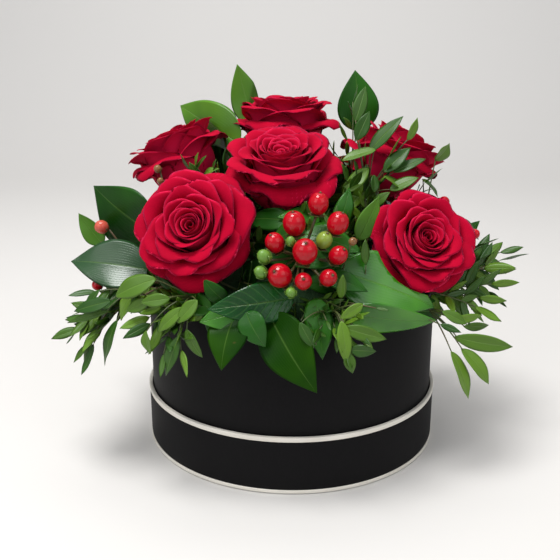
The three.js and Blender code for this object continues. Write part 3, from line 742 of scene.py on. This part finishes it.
def petal_points(layer, radius, height, rng, guard):
    """One petal round the upright axis: layer runs from 0 at the heart to 1 outside.

    Guard is over 0 for the outermost petals, which start lower and turn right back.
    """
    columns, rows = 21, 22
    rim = radius * (0.045 + 0.64 * layer**0.95) * rng.uniform(0.97, 1.03)
    sunken_heart = 1 - 0.07 * math.exp(-((layer / 0.14) ** 2))
    crest = height * (0.90 - 0.02 * layer - 0.27 * layer**2.4) * sunken_heart
    crest *= rng.uniform(0.985, 1.015)
    lip = radius * (0.04 + 0.44 * layer**1.4) * rng.uniform(0.92, 1.08)
    curl = math.radians(18 + 88 * layer**1.2) * rng.uniform(0.88, 1.12)
    half = radius * (0.26 + 0.50 * layer**0.85)
    rim, crest = rim * (1 - 0.06 * guard), crest * (1 - 0.22 * guard)
    curl, lip = curl * (1 + 0.42 * guard), lip * (1 + 0.10 * guard)
    lengths, line = petal_spine(rim, crest, lip, curl)
    u = np.linspace(-1, 1, columns)[:, None]
    v = np.linspace(0, 1, rows)[None, :] ** 0.8
    point = (0.11 + 0.05 * guard) * rng.uniform(0.5, 1.4) * layer**1.2 * np.exp(-((u / 0.24) ** 2))
    ragged = 0.012 * layer * np.sin(rng.uniform(7, 12) * u + rng.uniform(0, 6))
    share = v * (1 - (0.07 + 0.11 * layer) * np.abs(u) ** 2.4 + point + ragged)
    out = np.interp(share, lengths, line[:, 0])
    up = np.interp(share, lengths, line[:, 1])
    width = half * (0.25 + 0.75 * np.sin(np.clip(share / 0.8, 0, 1) * np.pi / 2) ** 0.8)
    angle = u * np.clip(width / np.maximum(out, 0.05 * radius), 0, 2.3)
    out = out + u * radius * 0.022 * share
    side_roll = layer**1.3 * radius * np.clip(np.abs(u) - 0.35, 0, 1) ** 2 * np.clip(share, 0, 1) ** 4
    out = out + 0.20 * side_roll
    up = up - 0.95 * side_roll
    phase = rng.uniform(0, 2 * np.pi, 2)
    sway = radius * (0.004 + 0.030 * layer) * np.clip(share, 0, 1) ** 5
    out = out + sway * np.sin(2.4 * u + phase[0])
    up = up + sway * np.sin(3.6 * u + phase[1])
    lean = math.radians(rng.normal(0, 2.6)) * layer
    out, up = out * math.cos(lean) + up * math.sin(lean), up * math.cos(lean) - out * math.sin(lean)
    return np.stack([out * np.cos(angle), out * np.sin(angle), up], axis=2)


def make_rose(name, axis, materials, rng):
    """Petals wound round the heart by the golden angle, as one piece, and the green parts."""
    foot, height, radius = turned_lie(f"{name}_bloom", axis)
    axis, right, ahead = upright(axis)
    turn_to_row = np.stack([right, ahead, axis])
    shape = Shape()
    start = rng.uniform(0, 2 * np.pi)
    for index in range(PETALS + GUARD_PETALS):
        layer = min(index / (PETALS - 1), 1.0)
        guard = 0.0 if index < PETALS else 0.6 + 0.4 * (index - PETALS) / GUARD_PETALS
        turn = start + index * GOLDEN_ANGLE + rng.normal(0, 0.10)
        points = petal_points(layer, radius, height, rng, guard)
        x = points[..., 0] * np.cos(turn) - points[..., 1] * np.sin(turn)
        y = points[..., 0] * np.sin(turn) + points[..., 1] * np.cos(turn)
        placed = np.stack([x, y, points[..., 2]], axis=2) @ turn_to_row + foot
        shape.sheet(placed, 0.35 * MM, layer, PETAL_BACK)
    shape.build(f"{name}_petals", materials["petal"], name, "rose_petal", [f"{name}_bloom"])
    make_rose_stem(name, foot, axis, radius, materials, rng)


def make_rose_stem(name, hip, axis, radius, materials, rng):
    """The stem with its thorns, the hip and five sepals turned back under the petals."""
    foot, length, _ = turned_lie(f"{name}_stem", axis)
    stem_radius = 2.6 * MM
    shape = Shape()
    profile = [(0, 0), (0.8 * stem_radius, 0), (stem_radius, 0.4 * MM), (stem_radius, length - 8 * MM),
               (1.5 * stem_radius, length - 5 * MM), (2.45 * stem_radius, length - 2.5 * MM),
               (2.5 * stem_radius, length - 0.4 * MM), (0, length)]
    shape.turned(profile, foot, axis, 20)
    axis, right, ahead = upright(axis)
    for index in range(5):
        way = spoke(right, ahead, index * 2 * np.pi / 5 + rng.uniform(-0.2, 0.2))
        base = hip + way * 4.5 * MM - axis * 1.2 * MM
        tip = hip + way * radius * rng.uniform(0.55, 0.7) + axis * radius * rng.uniform(-0.12, 0.05)
        shape.sheet(blade_points(base, tip, 5.5 * MM, -2.5 * MM, axis, 0.3), 0.6 * MM)
    for index in range(4):
        way = spoke(right, ahead, rng.uniform(0, 2 * np.pi))
        seat = foot + axis * length * (0.2 + 0.16 * index) + way * stem_radius * 0.8
        point = seat + way * 2.2 * MM - axis * 0.8 * MM
        shape.tube([seat, (seat + point) / 2 + axis * 0.3 * MM, point], [1.1 * MM, 0.7 * MM, 0.1 * MM], 6)
    shape.build(f"{name}_green", materials["stem"], name, "green_stem", [f"{name}_stem"])


# ---------- foliage ----------

# heights in millimetres: a twig that starts above the first arches at least to the second
HANGING_LEVEL = 108
OVER_EDGE = 122
# the dome over which filling foliage grows, in millimetres
DOME_FOOT = 103
ROOT_REACH = 80
ROOT_TOP = 34
TRIES = 30
FILLER_GROUPS = 8


def blade(root, tip, roll=0.0):
    """Chord, width direction, face and length of a blade whose face looks out of the dome."""
    root, tip = np.asarray(root, float), np.asarray(tip, float)
    along = unit(tip - root)
    across = unit(np.cross(along, (root + tip) / 2 - DOME_CENTRE))
    turn = math.radians(roll)
    across = across * math.cos(turn) + np.cross(along, across) * math.sin(turn)
    face = np.cross(across, along)
    return along, across, face, np.linalg.norm(tip - root)


def leaf_half_width(share, base):
    """Half the width of a leaf along its midrib, 1 at its widest: round at the base, pointed at the tip."""
    tip = 1.08
    widest = base / (base + tip)
    return (share / widest) ** base * ((1 - share) / (1 - widest)) ** tip


def blade_points(base, tip, width, bulge, face, fold=0.1, wave=0.0, phase=0.0, twist=0.0, columns=5,
                 rows=9, neck=0.6):
    """A pointed blade between two points: arched by bulge towards face and folded along its midrib.

    A higher neck gives a slimmer base.
    """
    base, tip = np.asarray(base, float), np.asarray(tip, float)
    along = unit(tip - base)
    across = unit(np.cross(along, face))
    face = np.cross(across, along)
    length = np.linalg.norm(tip - base)
    u = np.linspace(-1, 1, columns)[:, None, None]
    share = np.linspace(0, 1, rows)[None, :, None] ** 1.1
    half = width / 2 * leaf_half_width(share, neck)
    turn = twist * (share - 0.3)
    lift = 4 * bulge * share * (1 - share)
    cup = fold * np.abs(u) ** 1.3 + wave * u**2 * np.sin(8 * share + phase + 1.5 * np.sign(u))
    side = across * np.cos(turn) + face * np.sin(turn)
    over = face * np.cos(turn) - across * np.sin(turn)
    return base + along * share * length + face * lift + half * (side * u + over * cup)


LEAF_GAP = 2.0 * MM


class LeafField:
    """Remembers where the big leaves lie, so that finer ones are not grown through them."""

    def __init__(self):
        self.points = []
        self.tree = None

    def add(self, points):
        self.points.append(points.reshape(-1, 3))

    def close(self):
        spots = np.concatenate(self.points)
        self.tree = KDTree(len(spots))
        for index, spot in enumerate(spots):
            self.tree.insert(spot, index)
        self.tree.balance()

    def blocks(self, points):
        return any(self.tree.find(spot)[2] < LEAF_GAP for spot in points.reshape(-1, 3))


BIG_LEAVES = LeafField()


def make_leaf(name, plan, materials, rng, replaces=()):
    """A broad leaf and its stalk, from the foam into the blade."""
    root, base, tip, width, bulge, roll, kind = plan
    _, _, face, _ = blade(base, tip, roll)
    base, tip = np.array(base, float) * MM, np.array(tip, float) * MM
    points = blade_points(base, tip, width * MM, bulge * MM, face, rng.uniform(0.04, 0.16), 0.08,
                          rng.uniform(0, 6), rng.uniform(-0.25, 0.25), 17, 30)
    points = keep_clear(points)
    BIG_LEAVES.add(points)
    leaf = Shape()
    leaf.sheet(points, 0.5 * MM)
    leaf.build(f"{name}_blade", materials[kind], "insert", "broad_leaf", replaces)
    start = np.array(root, float) * MM
    end = base + (tip - base) * 0.08 + face * 0.3 * bulge * MM
    middle = (start + end) / 2 + rng.normal(0, 0.6 * MM, 3)
    stalk = Shape()
    stalk.tube([start, middle, end], [1.0 * MM, 0.9 * MM, 0.6 * MM], 8)
    stalk.build(f"{name}_stalk", materials["twig"], "insert", "green_stem")


def twig_line(root, tip, bulge):
    """An arched twig as a function of the share of its length, and its width and face directions."""
    along, across, face, length = blade(root, tip)
    start = np.array(root, float)

    def midline(share):
        return (start + along * share * length + face * 4 * bulge * share * (1 - share)) * MM

    return midline, across, face, length


def frond(leaflets, twigs, root, tip, bulge, leaflet, rng, first=0.34, spacing=LEAFLET_SPACING):
    """An arched twig with pairs of leaflets; lengths in millimetres."""
    midline, across, face, length = twig_line(root, tip, bulge)
    end = 1 - 0.8 * leaflet / length
    path = [midline(share) for share in np.linspace(0, end, 10)]
    twigs.tube(path, np.linspace(0.75, 0.35, 10) * MM, 6)
    pairs = max(2, round((end - first) * length / spacing))
    for pair in range(pairs + 1):
        share = first + (end - first) * pair / pairs
        point = midline(share)
        ahead = unit(midline(share + 0.02) - midline(share - 0.02))
        for spread in (0.0,) if pair == pairs else (-1.0, 1.0):
            turn = spread * rng.uniform(0.55, 1.05)
            lift = rng.uniform(-0.25, 0.45)
            way = unit(ahead * math.cos(turn) + across * math.sin(turn) + face * lift)
            size = leaflet * MM * rng.uniform(0.75, 1.15)
            side = unit(face + across * rng.uniform(-0.5, 0.5) + ahead * rng.uniform(-0.3, 0.3))
            points = blade_points(point, point + way * size, size * rng.uniform(0.27, 0.40),
                                  -size * rng.uniform(-0.03, 0.08), side, 0.2, 0.1, rng.uniform(0, 6),
                                  rng.uniform(-0.5, 0.5), neck=0.85)
            if not crowded(points, 4 * MM) and not BIG_LEAVES.blocks(points):
                leaflets.sheet(settle(points), 0.35 * MM, rng.uniform(0, 1) ** 1.8)


def build_spray(name, leaves, twigs, materials, replaces=(), word="leaflets"):
    """Makes the two pieces of a spray. The leaves stand for the CAD nodes that it replaces."""
    leaves.build(f"{name}_{word}", materials["leaflet"], "insert", "small_leaflet", replaces)
    twigs.build(f"{name}_twigs", materials["twig"], "insert", "green_stem")


def make_spray(name, plan, materials, rng, replaces=()):
    root, fronds = plan
    leaflets, twigs = Shape(), Shape()
    for tip, bulge, leaflet in fronds:
        frond(leaflets, twigs, root, tip, bulge, leaflet, rng)
    build_spray(name, leaflets, twigs, materials, replaces)


def grow_twig(twigs, start, end, radius):
    """An arched twig between two points, in millimetres, that passes over the edge of the box."""
    middle = (start + end) / 2
    rise = 0.12 * np.linalg.norm(end - start)
    if start[2] > HANGING_LEVEL:
        rise = max(rise, OVER_EDGE - middle[2])
    crest = middle + np.array([0.0, 0.0, rise])
    share = np.linspace(0, 1, 10)[:, None]
    arch = (1 - share) ** 2 * start + 2 * share * (1 - share) * crest + share**2 * end
    twigs.tube(keep_clear(arch * MM), np.linspace(radius, 0.55 * radius, 10) * MM, 6)


def make_sprig(name, plan, materials, rng, replaces):
    """A sprig whose leaves are set one by one, on twigs that fork out of one stem."""
    root, leaves = plan
    start = np.array(root, float)
    middle = np.mean([base for base, _, _ in leaves], axis=0)
    fork = start + 0.62 * (middle - start) + np.array([0.0, 0.0, 3.0])
    blades, twigs = Shape(), Shape()
    grow_twig(twigs, start, fork, 1.0)
    for base, tip, width in leaves:
        base, tip = np.array(base, float), np.array(tip, float)
        _, _, face, length = blade(base, tip)
        points = blade_points(base * MM, tip * MM, width * MM, rng.uniform(0.03, 0.09) * length * MM, face,
                              0.16, 0.1, rng.uniform(0, 6), rng.uniform(-0.3, 0.3), 9, 14, 0.85)
        points = settle(points)
        blades.sheet(points, 0.4 * MM, rng.uniform(0.0, 1.0) ** 1.5)
        grow_twig(twigs, fork, points[4, 1] / MM, 0.6)
    build_spray(f"sprig_{name}", blades, twigs, materials, replaces, "leaves")


def dome_point(azimuth, tilt, reach, top):
    """A point over the foam, on a dome of the given reach and height over the box's edge."""
    level = math.sin(tilt) * reach
    height = DOME_FOOT + math.cos(tilt) * top
    return np.array([level * math.cos(azimuth), level * math.sin(azimuth), height])


def runs_clear(root, tip, bulge):
    """True where a twig meets neither the box nor the room that a flower needs."""
    midline, _, _, _ = twig_line(root, tip, bulge)
    path = np.array([midline(share) for share in np.linspace(0, 1, 16)])
    return np.allclose(keep_out_of_box(path), path) and not crowded(path)


def clear_twig(azimuth, tilt, reach, top, jitter, rng):
    """A root in the foam, a tip near the dome's surface and the bulge of a clear twig between them."""
    for _ in range(TRIES):
        turn, lean = azimuth + rng.normal(0, jitter), tilt + rng.normal(0, jitter)
        root = dome_point(azimuth + rng.normal(0, 0.1), tilt, ROOT_REACH, ROOT_TOP)
        tip = dome_point(turn, lean, reach, top)
        bulge = rng.uniform(1, 9)
        if runs_clear(root, tip, bulge):
            return root, tip, bulge
    return None


def make_filler_sprays(materials, rng):
    """Small-leaved sprigs in the gaps between the flowers, all round the dome."""
    for group in range(FILLER_GROUPS):
        leaflets, twigs = Shape(), Shape()
        for _ in range(18):
            azimuth = (group + rng.uniform(0, 1)) * 2 * math.pi / FILLER_GROUPS
            tilt = math.radians(rng.uniform(12, 86))
            found = clear_twig(azimuth, tilt, rng.uniform(92, 116), rng.uniform(70, 108), 0.16, rng)
            if found:
                root, tip, bulge = found
                frond(leaflets, twigs, root, tip, bulge, rng.uniform(12, 18), rng, 0.2, 8)
        build_spray(f"filler_{group}", leaflets, twigs, materials)


def make_edge_sprays(materials, rng):
    """Sprays that hang over the edge of the box at its sides and back."""
    leaflets, twigs = Shape(), Shape()
    for azimuth in np.linspace(math.radians(-22), math.radians(202), 26):
        for _ in range(TRIES):
            root = dome_point(azimuth, math.radians(72), ROOT_REACH, ROOT_TOP)
            tip = dome_point(azimuth + rng.normal(0, 0.12), math.pi / 2, rng.uniform(110, 128), 0)
            tip[2] = rng.uniform(76, 112)
            bulge = rng.uniform(12, 20)
            if runs_clear(root, tip, bulge):
                frond(leaflets, twigs, root, tip, bulge, rng.uniform(15, 20), rng, 0.3, 9)
                break
    build_spray("edge", leaflets, twigs, materials)


def make_filler_leaves(materials, rng):
    """Dark leaves low between the flowers, which hide the foam."""
    for group in range(FILLER_GROUPS):
        leaves, stalks = Shape(), Shape()
        for _ in range(20):
            azimuth = (group + rng.uniform(0, 1)) * 2 * math.pi / FILLER_GROUPS
            tilt = math.radians(rng.uniform(5, 84))
            found = clear_twig(azimuth, tilt, rng.uniform(78, 100), rng.uniform(44, 88), 0.14, rng)
            if not found:
                continue
            root, tip = found[0] * MM, found[1] * MM
            outward = unit(tip - DOME_CENTRE * MM)
            _, right, ahead = upright(outward)
            turn = rng.uniform(0, 2 * math.pi)
            way = unit(right * math.cos(turn) + ahead * math.sin(turn) + outward * rng.uniform(0.0, 0.8))
            length = rng.uniform(26, 40) * MM
            points = blade_points(tip - way * 0.3 * length, tip + way * 0.7 * length, length * 0.48,
                                  3 * MM, outward, 0.12, 0.1, turn, rng.uniform(-0.4, 0.4), 9, 14)
            if not crowded(points, 9 * MM) and not BIG_LEAVES.blocks(points):
                leaves.sheet(settle(points), 0.45 * MM)
                stalks.tube([root, (root + tip) / 2, tip - way * 0.25 * length], 0.8 * MM, 6)
        kind = "dark" if group % 2 else "broad"
        leaves.build(f"under_{group}_leaves", materials[kind], "insert", "broad_leaf")
        stalks.build(f"under_{group}_stalks", materials["twig"], "insert", "green_stem")


# ---------- berries ----------


def berry_profile(radius, length, taper=0.9):
    """Profile of a berry or a bud, more pointed where taper is higher."""
    turn = np.linspace(-np.pi / 2, np.pi / 2, 15)
    reach = radius * np.maximum(np.cos(turn), 0.0) ** taper
    return list(zip(reach, length / 2 * (1 + np.sin(turn))))


def make_bract(branch, fork, centre, radius):
    """An unripe berry wrapped in small green leaves."""
    axis, right, ahead = upright(unit(centre - fork) + np.array([0, 0, 0.8]))
    foot = centre - axis * radius * 1.2
    branch.turned(berry_profile(radius, 2.4 * radius, 1.1), foot, axis, 16, 1.0)
    for index in range(4):
        way = spoke(right, ahead, index * np.pi / 2)
        tip = foot + way * radius * 1.1 + axis * radius * 1.7
        branch.sheet(blade_points(foot, tip, 1.2 * radius, 0.45 * radius, way), 0.5 * MM, 0.8)
    branch.tube([fork, (fork + foot) / 2 - [0, 0, 0.6 * MM], foot], [1.0 * MM, 0.8 * MM, 0.8 * MM], 8)


def make_loose_berries(materials):
    """Small berries and buds among the leaves, each on its own stalk."""
    stalks = Shape()
    for index, (place, radius, color, droop) in enumerate(LOOSE_BERRIES):
        centre, radius = np.array(place, float) * MM, radius * MM
        level = np.array([centre[0], centre[1], 0.0])
        root = level * min(1.0, 74 * MM / np.linalg.norm(level)) + np.array([0, 0, 118 * MM])
        axis, right, ahead = upright(unit(centre - root) + unit(level) * 0.6)
        foot = centre - axis * radius
        berry = Shape()
        berry.turned(berry_profile(radius, 2.1 * radius), foot, axis, 20)
        berry.build(f"loose_berry_{index}", materials[color], "insert", "red_berry")
        for turn in np.arange(5) * 2 * np.pi / 5:
            tip = foot + spoke(right, ahead, turn) * radius + axis * radius * 0.5
            stalks.sheet(blade_points(foot - axis * 0.4 * MM, tip, 0.8 * radius, 0.0, axis), 0.5 * MM, 0.6)
        sag = np.array([0.0, 0.0, droop * np.linalg.norm(foot - root)])
        share = np.linspace(0, 1, 9)[:, None]
        path = root + (foot - root) * share - 4 * sag * share * (1 - share)
        stalks.tube(keep_clear(path), 0.6 * MM, 6)
    stalks.build("loose_berry_stalks", materials["twig"], "insert", "green_stem")


def make_berry(node, fork, branch, materials):
    """A berry in place of its CAD solid. Its crown, calyx and stalk go to the branch."""
    low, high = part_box(node)
    centre = (np.array(low) + np.array(high)) / 2
    _, length, radius = turned_lie(node, centre - fork)
    axis, right, ahead = upright(unit(centre - fork) + np.array([0, 0, 0.8]))
    foot = centre - axis * length / 2
    skin = Shape()
    skin.turned(berry_profile(radius, length), foot, axis, 28)
    green = node == "berry_green"
    skin.build(f"{node}_skin", materials["green_berry" if green else "berry"], "berries",
               "green_berry" if green else "red_berry", [node])
    crown = [(0, -0.4 * MM), (0.9 * MM, -0.4 * MM), (0.5 * MM, 0.5 * MM), (0, 0.9 * MM)]
    branch.turned(crown, foot + axis * length, axis, 8)
    for index in range(5):
        way = spoke(right, ahead, index * 2 * np.pi / 5)
        base = foot + way * 0.6 * MM - axis * 0.3 * MM
        tip = foot + way * radius * 0.95 + axis * radius * 0.15
        branch.sheet(blade_points(base, tip, 0.75 * radius, -0.12 * radius, axis), 0.5 * MM)
    knee = fork + (foot - fork) * 0.5 + np.array([0, 0, -0.6 * MM])
    branch.tube([fork, knee, foot], [1.1 * MM, 0.9 * MM, 0.9 * MM], 8)


def make_berries(materials):
    """The branch that carries the ripe berries of the frame and a few unripe ones."""
    berries = [node for node in frame["nodes"] if node.startswith("berry_") and node != "berry_branch"]
    fork = BERRY_FORK * MM
    branch = Shape()
    for node in sorted(berries):
        make_berry(node, fork, branch, materials)
    for place, radius in BRACTS:
        make_bract(branch, fork, np.array(place, float) * MM, radius * MM)
    corners = node_points("berry_branch")
    root = corners[corners[:, 1].argmax()]
    branch.tube([root, fork], [1.7 * MM, 1.5 * MM], 10)
    branch.build("berry_branch_green", materials["bract"], "berries", "green_stem", ["berry_branch"])


# ---------- stage ----------


def add_floor():
    """A pale floor that sweeps up into a backdrop."""
    reach, start, bend, top = 14.0, 1.0, 0.8, 4.0
    profile = [(-reach, 0.0), (start, 0.0)]
    for turn in np.linspace(0.1, 1.57, 14):
        profile.append((start + bend * math.sin(turn), bend - bend * math.cos(turn)))
    profile.append((start + bend, top))
    points = [(x, y, z - 0.0002) for y, z in profile for x in (-reach, reach)]
    faces = [(i, i + 1, i + 3, i + 2) for i in range(0, len(points) - 2, 2)]
    mesh = bpy.data.meshes.new("floor")
    mesh.from_pydata(points, [], faces)
    mesh.shade_smooth()
    mesh.materials.append(Shader("floor_paint", 0.6, Base_Color=(0.62, 0.60, 0.575)).material)
    floor = bpy.data.objects.new("floor", mesh)
    bpy.context.scene.collection.objects.link(floor)


def add_light(name, place, target, size, power):
    data = bpy.data.lights.new(name, "AREA")
    data.size = size
    data.energy = power
    light = bpy.data.objects.new(name, data)
    light.location = place
    way = np.asarray(target) - np.asarray(place)
    light.rotation_euler = Vector(way).to_track_quat("-Z", "Y").to_euler()
    bpy.context.scene.collection.objects.link(light)


def make_stage():
    add_floor()
    add_light("overhead", (-0.25, -0.25, 1.25), (0, 0, 0.1), 0.5, 16)
    add_light("front_left", (-1.1, -1.3, 1.1), (0, 0, 0.12), 1.2, 10)
    add_light("front_right", (1.1, -1.1, 1.0), (0, 0, 0.12), 1.2, 6)
    add_light("backdrop", (0, 0.7, 1.9), (0, 1.8, 0.7), 1.4, 14)
    world = bpy.data.worlds.new("studio")
    world.use_nodes = True
    background = world.node_tree.nodes["Background"]
    background.inputs["Color"].default_value = (0.86, 0.90, 0.96, 1.0)
    background.inputs["Strength"].default_value = 0.52
    bpy.context.scene.world = world


def show_true_colours():
    """Plain display colours: the deep reds of the petals are outside the soft film-like view."""
    bpy.context.scene.view_settings.view_transform = "Standard"


def add_camera():
    data = bpy.data.cameras.new("camera")
    data.lens = CAMERA_LENS
    data.sensor_width = 36.0
    camera = bpy.data.objects.new("camera", data)
    camera.location = CAMERA_PLACE
    camera.rotation_euler = (math.pi / 2 - CAMERA_DOWN, 0, 0)
    bpy.context.scene.collection.objects.link(camera)
    bpy.context.scene.camera = camera


# ---------- assembly ----------


def stands_for(name):
    """The CAD node that a leaf or a sprig of this name takes the place of, if there is one."""
    return [name] if name in frame["nodes"] else []


def main():
    rng = np.random.default_rng(SEED)
    materials = {kind: leaf_material(kind) for kind in LEAF_TONES}
    materials["petal"] = petal_material()
    materials["leaflet"] = leaflet_material()
    materials["stem"] = stem_material()
    materials["twig"] = stem_material("twig", (0.055, 0.080, 0.018), (0.10, 0.032, 0.016))
    materials["bract"] = bract_material()
    materials["berry"] = berry_material("red_berry", (0.30, 0.001, 0.005), (0.50, 0.002, 0.013))
    materials["pink_berry"] = berry_material("pink_berry", (0.50, 0.12, 0.07), (0.46, 0.03, 0.03))
    materials["bud"] = berry_material("bud", (0.15, 0.055, 0.020), (0.24, 0.13, 0.05))
    materials["green_berry"] = berry_material("green_berry", (0.12, 0.20, 0.02), (0.24, 0.31, 0.05))
    add_camera()
    show_true_colours()
    make_stage()
    make_box()
    for joint in frame["joints"]:
        if joint["child"].startswith("rose_"):
            make_rose(joint["child"], joint["axis"], materials, rng)
    make_berries(materials)
    make_loose_berries(materials)
    for name, plan in LEAVES.items():
        make_leaf(name, plan, materials, rng, stands_for(name))
    BIG_LEAVES.close()
    for name, plan in SPRAYS.items():
        make_spray(name, plan, materials, rng, [name])
    for name, plan in FINE_SPRAYS.items():
        make_spray(f"fine_{name}", plan, materials, rng)
    for name, plan in SPRIGS.items():
        make_sprig(name, plan, materials, rng, stands_for(name))
    make_edge_sprays(materials, rng)
    make_filler_leaves(materials, rng)
    make_filler_sprays(materials, rng)
    for name, plan in GAP_LEAVES.items():
        make_leaf(name, plan, materials, rng)


main()
